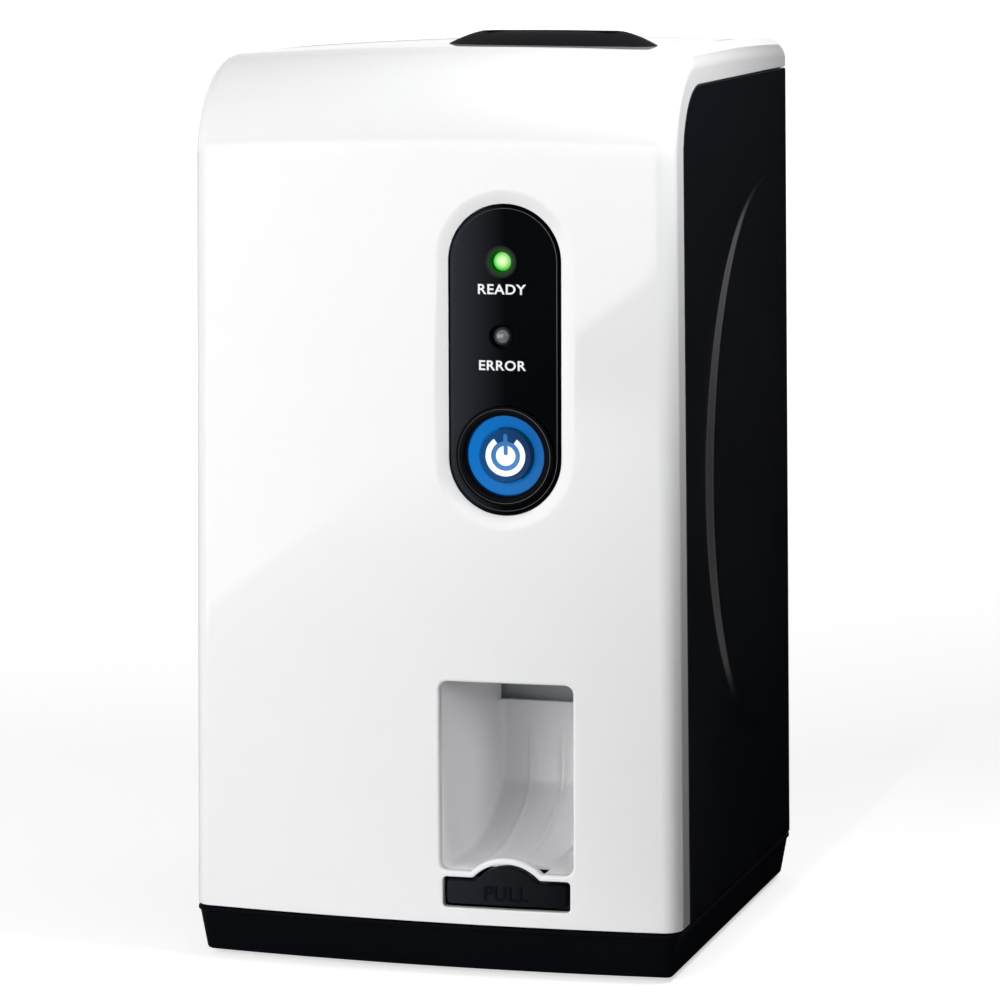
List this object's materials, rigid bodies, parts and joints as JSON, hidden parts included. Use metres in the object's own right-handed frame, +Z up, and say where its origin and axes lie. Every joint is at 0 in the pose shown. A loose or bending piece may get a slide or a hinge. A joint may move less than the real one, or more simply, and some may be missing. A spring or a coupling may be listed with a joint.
{
  "type": "phosphor plate scanner",
  "caption": "Upright desktop scanner for dental imaging plates: plate slot on top, pill-shaped control panel, lit start button, pickup pocket and pull drawer on the front.",
  "frame": {"origin": "on the ground under the middle of the housing, at the centre of the bounding box's bottom face", "axes": "+Z up, the front with the controls faces -Y, +X to the right of someone who faces the front"},
  "size_m": [0.1482, 0.155, 0.2718],
  "materials": {
    "gloss_white": "smooth gloss",
    "liner_white": "satin",
    "gloss_black": "smooth gloss",
    "matte_black": "satin, fine grain",
    "component_black": "plain",
    "rubber": "matt",
    "felt": "matt",
    "blue_lens": "lit from behind",
    "green_lens": "lit from behind",
    "dark_lens": "unlit",
    "board_green": "lacquered board",
    "sheet_steel": "plated sheet",
    "spring_steel": "ground",
    "screw_steel": "blackened zinc",
    "machined_aluminium": "satin",
    "bronze": "plain",
    "mirror": "polished",
    "clear_acrylic": "polished"
  },
  "bodies": {
    "housing": {"base_tray": "matte_black", "rubber_feet": "rubber", "front_cover": "gloss_white", "side_panel_left": "gloss_black", "side_panel_right": "gloss_black", "rear_cover": "matte_black", "slot_collar": "matte_black", "light_seals": "felt", "control_fascia": "gloss_black", "button_bezel": "gloss_black", "button_light_ring": "blue_lens", "tact_switch": "component_black", "button_spring": "spring_steel", "led_ready": "green_lens", "led_error": "dark_lens", "control_board": "board_green", "chute_liner": "liner_white", "exit_hood": "component_black", "drawer_runner_left": "component_black", "drawer_runner_right": "component_black", "transport_plate_left": "sheet_steel", "transport_plate_right": "sheet_steel", "roller_bushes": "bronze", "pinch_springs": "spring_steel", "timing_belt": "rubber", "stepper_motor": "component_black", "frame_screws": "screw_steel", "plate_guide_front": "sheet_steel", "plate_guide_rear": "sheet_steel", "optics_deck": "machined_aluminium", "mirror_motor": "component_black", "laser_module": "bronze", "laser_clamp": "machined_aluminium", "light_guide": "clear_acrylic", "photomultiplier": "component_black", "detector_shelf": "machined_aluminium", "eraser_board": "board_green", "main_board": "board_green", "usb_socket": "sheet_steel", "power_jack": "component_black", "power_switch": "component_black", "case_screws": "screw_steel"},
    "start_button": {"start_button": "matte_black"},
    "drawer": {"drawer_tray": "component_black", "drawer_handle": "matte_black"},
    "motor_rotor": {"motor_shaft": "spring_steel", "motor_pulley": "machined_aluminium"},
    "upper_drive": {"upper_drive_shaft": "spring_steel", "upper_drive_tyres": "rubber", "upper_pulley": "component_black"},
    "lower_drive": {"lower_drive_shaft": "spring_steel", "lower_drive_tyres": "rubber", "lower_pulley": "component_black"},
    "upper_pinch": {"upper_pinch_roller": "component_black"},
    "lower_pinch": {"lower_pinch_roller": "component_black"},
    "mirror": {"mirror_shaft": "spring_steel", "scan_mirror": "mirror"},
    "rocker": {"power_rocker": "component_black"}
  },
  "joints": [
    {"name": "start_press", "type": "slide", "parent": "housing", "child": "start_button", "axis": [0, 1, 0], "range_m": [0, 0.001], "stiffness_N_per_m": 600, "deforming": ["button_spring"]},
    {"name": "drawer_slide", "type": "slide", "parent": "housing", "child": "drawer", "axis": [0, -1, 0], "range_m": [0, 0.038]},
    {"name": "feed_motor_spin", "type": "hinge", "parent": "housing", "child": "motor_rotor", "pos_m": [0.0232, 0.022, 0.204], "axis": [1, 0, 0], "continuous": true},
    {"name": "upper_drive_spin", "type": "hinge", "parent": "housing", "child": "upper_drive", "pos_m": [0.0232, -0.0177, 0.226], "axis": [1, 0, 0], "continuous": true},
    {"name": "lower_drive_spin", "type": "hinge", "parent": "housing", "child": "lower_drive", "pos_m": [0.0232, -0.0177, 0.106], "axis": [1, 0, 0], "continuous": true},
    {"name": "upper_pinch_spin", "type": "hinge", "parent": "housing", "child": "upper_pinch", "pos_m": [0.0232, -0.0293, 0.226], "axis": [1, 0, 0], "continuous": true},
    {"name": "lower_pinch_spin", "type": "hinge", "parent": "housing", "child": "lower_pinch", "pos_m": [0.0232, -0.0293, 0.106], "axis": [1, 0, 0], "continuous": true},
    {"name": "mirror_swing", "type": "hinge", "parent": "housing", "child": "mirror", "pos_m": [0.0232, 0.04, 0.152], "axis": [0, 0, 1], "range_deg": [-8, 8]},
    {"name": "rocker_tip", "type": "hinge", "parent": "housing", "child": "rocker", "pos_m": [0.024, 0.072, 0.034], "axis": [1, 0, 0], "range_deg": [0, 16]}
  ],
  "couplings": [
    {"joint": "upper_drive_spin", "follows": "feed_motor_spin", "ratio": 1},
    {"joint": "lower_drive_spin", "follows": "feed_motor_spin", "ratio": 1},
    {"joint": "upper_pinch_spin", "follows": "feed_motor_spin", "ratio": -1.2},
    {"joint": "lower_pinch_spin", "follows": "feed_motor_spin", "ratio": -1.2}
  ]
}
